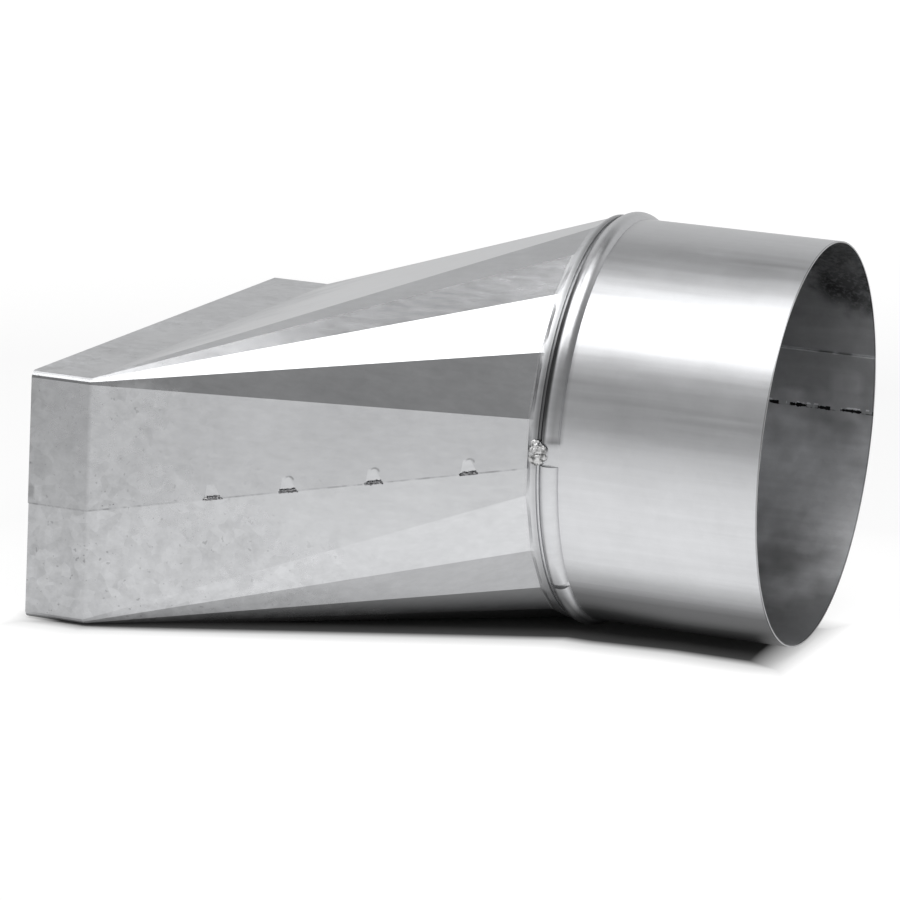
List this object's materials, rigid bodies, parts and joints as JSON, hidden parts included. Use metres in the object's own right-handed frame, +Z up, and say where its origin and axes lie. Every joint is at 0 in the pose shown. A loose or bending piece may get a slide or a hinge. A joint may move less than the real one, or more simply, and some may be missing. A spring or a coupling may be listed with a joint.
{
  "type": "duct reducer",
  "caption": "Galvanised sheet duct reducer that turns a flat rectangular duct into a round one, with a lapped body seam and a beaded round collar.",
  "frame": {"origin": "middle of the footprint, on the surface the reducer lies on", "axes": "+X along the duct from the rectangular end to the round end, Y across the wide way, +Z up from the flat underside"},
  "size_m": [0.2634, 0.224, 0.1538],
  "materials": {
    "galvanised_sheet": "bright hot dip galvanised sheet, faint mottling",
    "galvanised_strip": "bright hot dip galvanised strip, brushed round the collar"
  },
  "bodies": {
    "root": {"transition_body": "galvanised_sheet", "round_collar": "galvanised_strip"}
  },
  "joints": []
}
